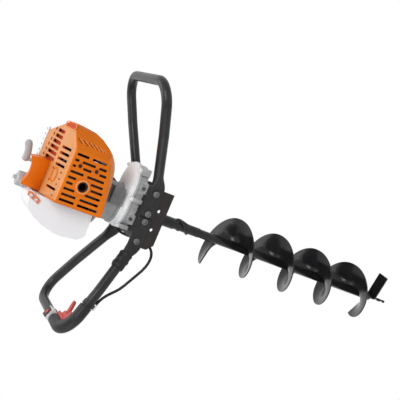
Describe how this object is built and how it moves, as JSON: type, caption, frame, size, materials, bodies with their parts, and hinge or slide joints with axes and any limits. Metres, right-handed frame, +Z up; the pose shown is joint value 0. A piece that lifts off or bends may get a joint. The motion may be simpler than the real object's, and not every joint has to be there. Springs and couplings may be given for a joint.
{
  "type": "earth auger",
  "caption": "Hand-held motor earth auger: engine in an orange shroud, fuel tank, gearbox on a channel frame with two loop handles, and a helical drill bit.",
  "frame": {"origin": "the point of the bit, on the drill axis", "axes": "+Z up the drill axis towards the engine, +X towards the plain handle, +Y towards the carburettor side"},
  "size_m": [0.6564, 0.3047, 1.172],
  "materials": {
    "black_paint": "satin",
    "bit_paint": "gloss",
    "cast_alloy": "as cast",
    "steel": "satin",
    "dark_steel": "satin",
    "orange_plastic": "semi gloss",
    "tank_plastic": "translucent",
    "grey_plastic": "satin",
    "black_plastic": "matte",
    "red_plastic": "satin",
    "white_plastic": "satin",
    "rubber": "matte",
    "rope": "woven",
    "foam": "porous"
  },
  "bodies": {
    "machine": {"frame_channel": "black_paint", "right_handle": "black_paint", "left_handle": "black_paint", "handle_bolts": "steel", "handle_nuts": "steel", "frame_bolts": "steel", "gearbox_lower": "cast_alloy", "gearbox_upper": "cast_alloy", "gearbox_screws": "steel", "output_bearings": "steel", "output_seal": "rubber", "countershaft_bearings": "steel", "input_bearing": "steel", "clutch_housing": "cast_alloy", "housing_screws": "steel", "crankcase": "cast_alloy", "crank_bearings": "steel", "cylinder": "cast_alloy", "spark_plug": "steel", "plug_cap": "rubber", "muffler": "dark_steel", "insulator": "black_plastic", "carburettor": "cast_alloy", "air_filter": "foam", "filter_cover": "black_plastic", "engine_shroud": "orange_plastic", "shroud_screws": "steel", "starter_cover": "orange_plastic", "recoil_spring": "dark_steel", "fuel_tank": "tank_plastic", "tank_bracket": "orange_plastic", "ignition_coil": "black_plastic", "throttle_housing": "black_plastic", "switch_housing": "white_plastic", "cable_clip": "steel", "throttle_cable": "rubber", "leg_sleeve": "rubber"},
    "bit": {"output_gear": "dark_steel", "output_shaft": "steel", "bit_shaft": "bit_paint", "bit_flight": "bit_paint", "cutting_blade": "bit_paint", "pilot_point": "bit_paint", "coupler_pin": "steel"},
    "countershaft": {"first_gear": "dark_steel", "countershaft": "steel"},
    "input": {"input_pinion": "steel", "clutch_drum": "dark_steel"},
    "crank": {"crankshaft": "dark_steel", "flywheel": "cast_alloy", "clutch_shoes": "dark_steel"},
    "piston": {"piston": "cast_alloy"},
    "throttle_lever": {"throttle_lever": "red_plastic"},
    "throttle_arm": {"throttle_arm": "steel"},
    "choke_lever": {"choke_lever": "black_plastic"},
    "stop_button": {"stop_button": "red_plastic"},
    "starter_grip": {"starter_grip": "grey_plastic", "starter_rope": "rope"},
    "starter_pulley": {"starter_pulley": "black_plastic"},
    "fuel_cap": {"fuel_cap": "grey_plastic"}
  },
  "joints": [
    {"name": "bit_spin", "type": "hinge", "parent": "machine", "child": "bit", "pos_m": [0, 0, 0], "axis": [0, 0, 1], "continuous": true},
    {"name": "countershaft_spin", "type": "hinge", "parent": "machine", "child": "countershaft", "pos_m": [0.057, 0, 0.877], "axis": [0, 0, 1], "continuous": true},
    {"name": "input_spin", "type": "hinge", "parent": "machine", "child": "input", "pos_m": [0, 0, 0.877], "axis": [0, 0, 1], "continuous": true},
    {"name": "crank_spin", "type": "hinge", "parent": "machine", "child": "crank", "pos_m": [0, 0, 0.877], "axis": [0, 0, 1], "continuous": true},
    {"name": "piston_stroke", "type": "slide", "parent": "machine", "child": "piston", "axis": [-1, 0, 0], "range_m": [0, 0.034]},
    {"name": "throttle_lever_turn", "type": "hinge", "parent": "machine", "child": "throttle_lever", "pos_m": [-0.29364, -0.07, 0.9516], "axis": [-0.3907, 0, -0.9205], "range_deg": [0, 40], "stiffness_Nm_per_rad": 0.3, "springref_deg": -17.19},
    {"name": "throttle_arm_turn", "type": "hinge", "parent": "machine", "child": "throttle_arm", "pos_m": [0.07, 0.068, 1.046], "axis": [0, 0, 1], "range_deg": [0, 70]},
    {"name": "choke_turn", "type": "hinge", "parent": "machine", "child": "choke_lever", "pos_m": [0.07, 0.084, 1.046], "axis": [0, 0, -1], "range_deg": [0, 75]},
    {"name": "stop_press", "type": "slide", "parent": "machine", "child": "stop_button", "axis": [-0.3907, 0, -0.9205], "range_m": [0, 0.003], "stiffness_N_per_m": 300, "springref_m": -0.004},
    {"name": "starter_pull", "type": "slide", "parent": "machine", "child": "starter_grip", "axis": [0, 1, 0], "range_m": [0, 0.7], "stiffness_N_per_m": 30, "springref_m": -0.2, "deforming": ["starter_rope"]},
    {"name": "starter_pulley_spin", "type": "hinge", "parent": "machine", "child": "starter_pulley", "pos_m": [0, 0, 1.139], "axis": [0, 0, 1], "range_deg": [0, 2030]},
    {"name": "cap_turn", "type": "hinge", "parent": "machine", "child": "fuel_cap", "pos_m": [-0.032, 0.051, 1.156], "axis": [0, 0, 1], "range_deg": [0, 720]}
  ],
  "couplings": [
    {"joint": "countershaft_spin", "follows": "bit_spin", "ratio": -4.4286},
    {"joint": "input_spin", "follows": "bit_spin", "ratio": 19.612},
    {"joint": "throttle_arm_turn", "follows": "throttle_lever_turn", "ratio": 1.75},
    {"joint": "starter_pulley_spin", "follows": "starter_pull", "rad_per_m": 50.378}
  ]
}
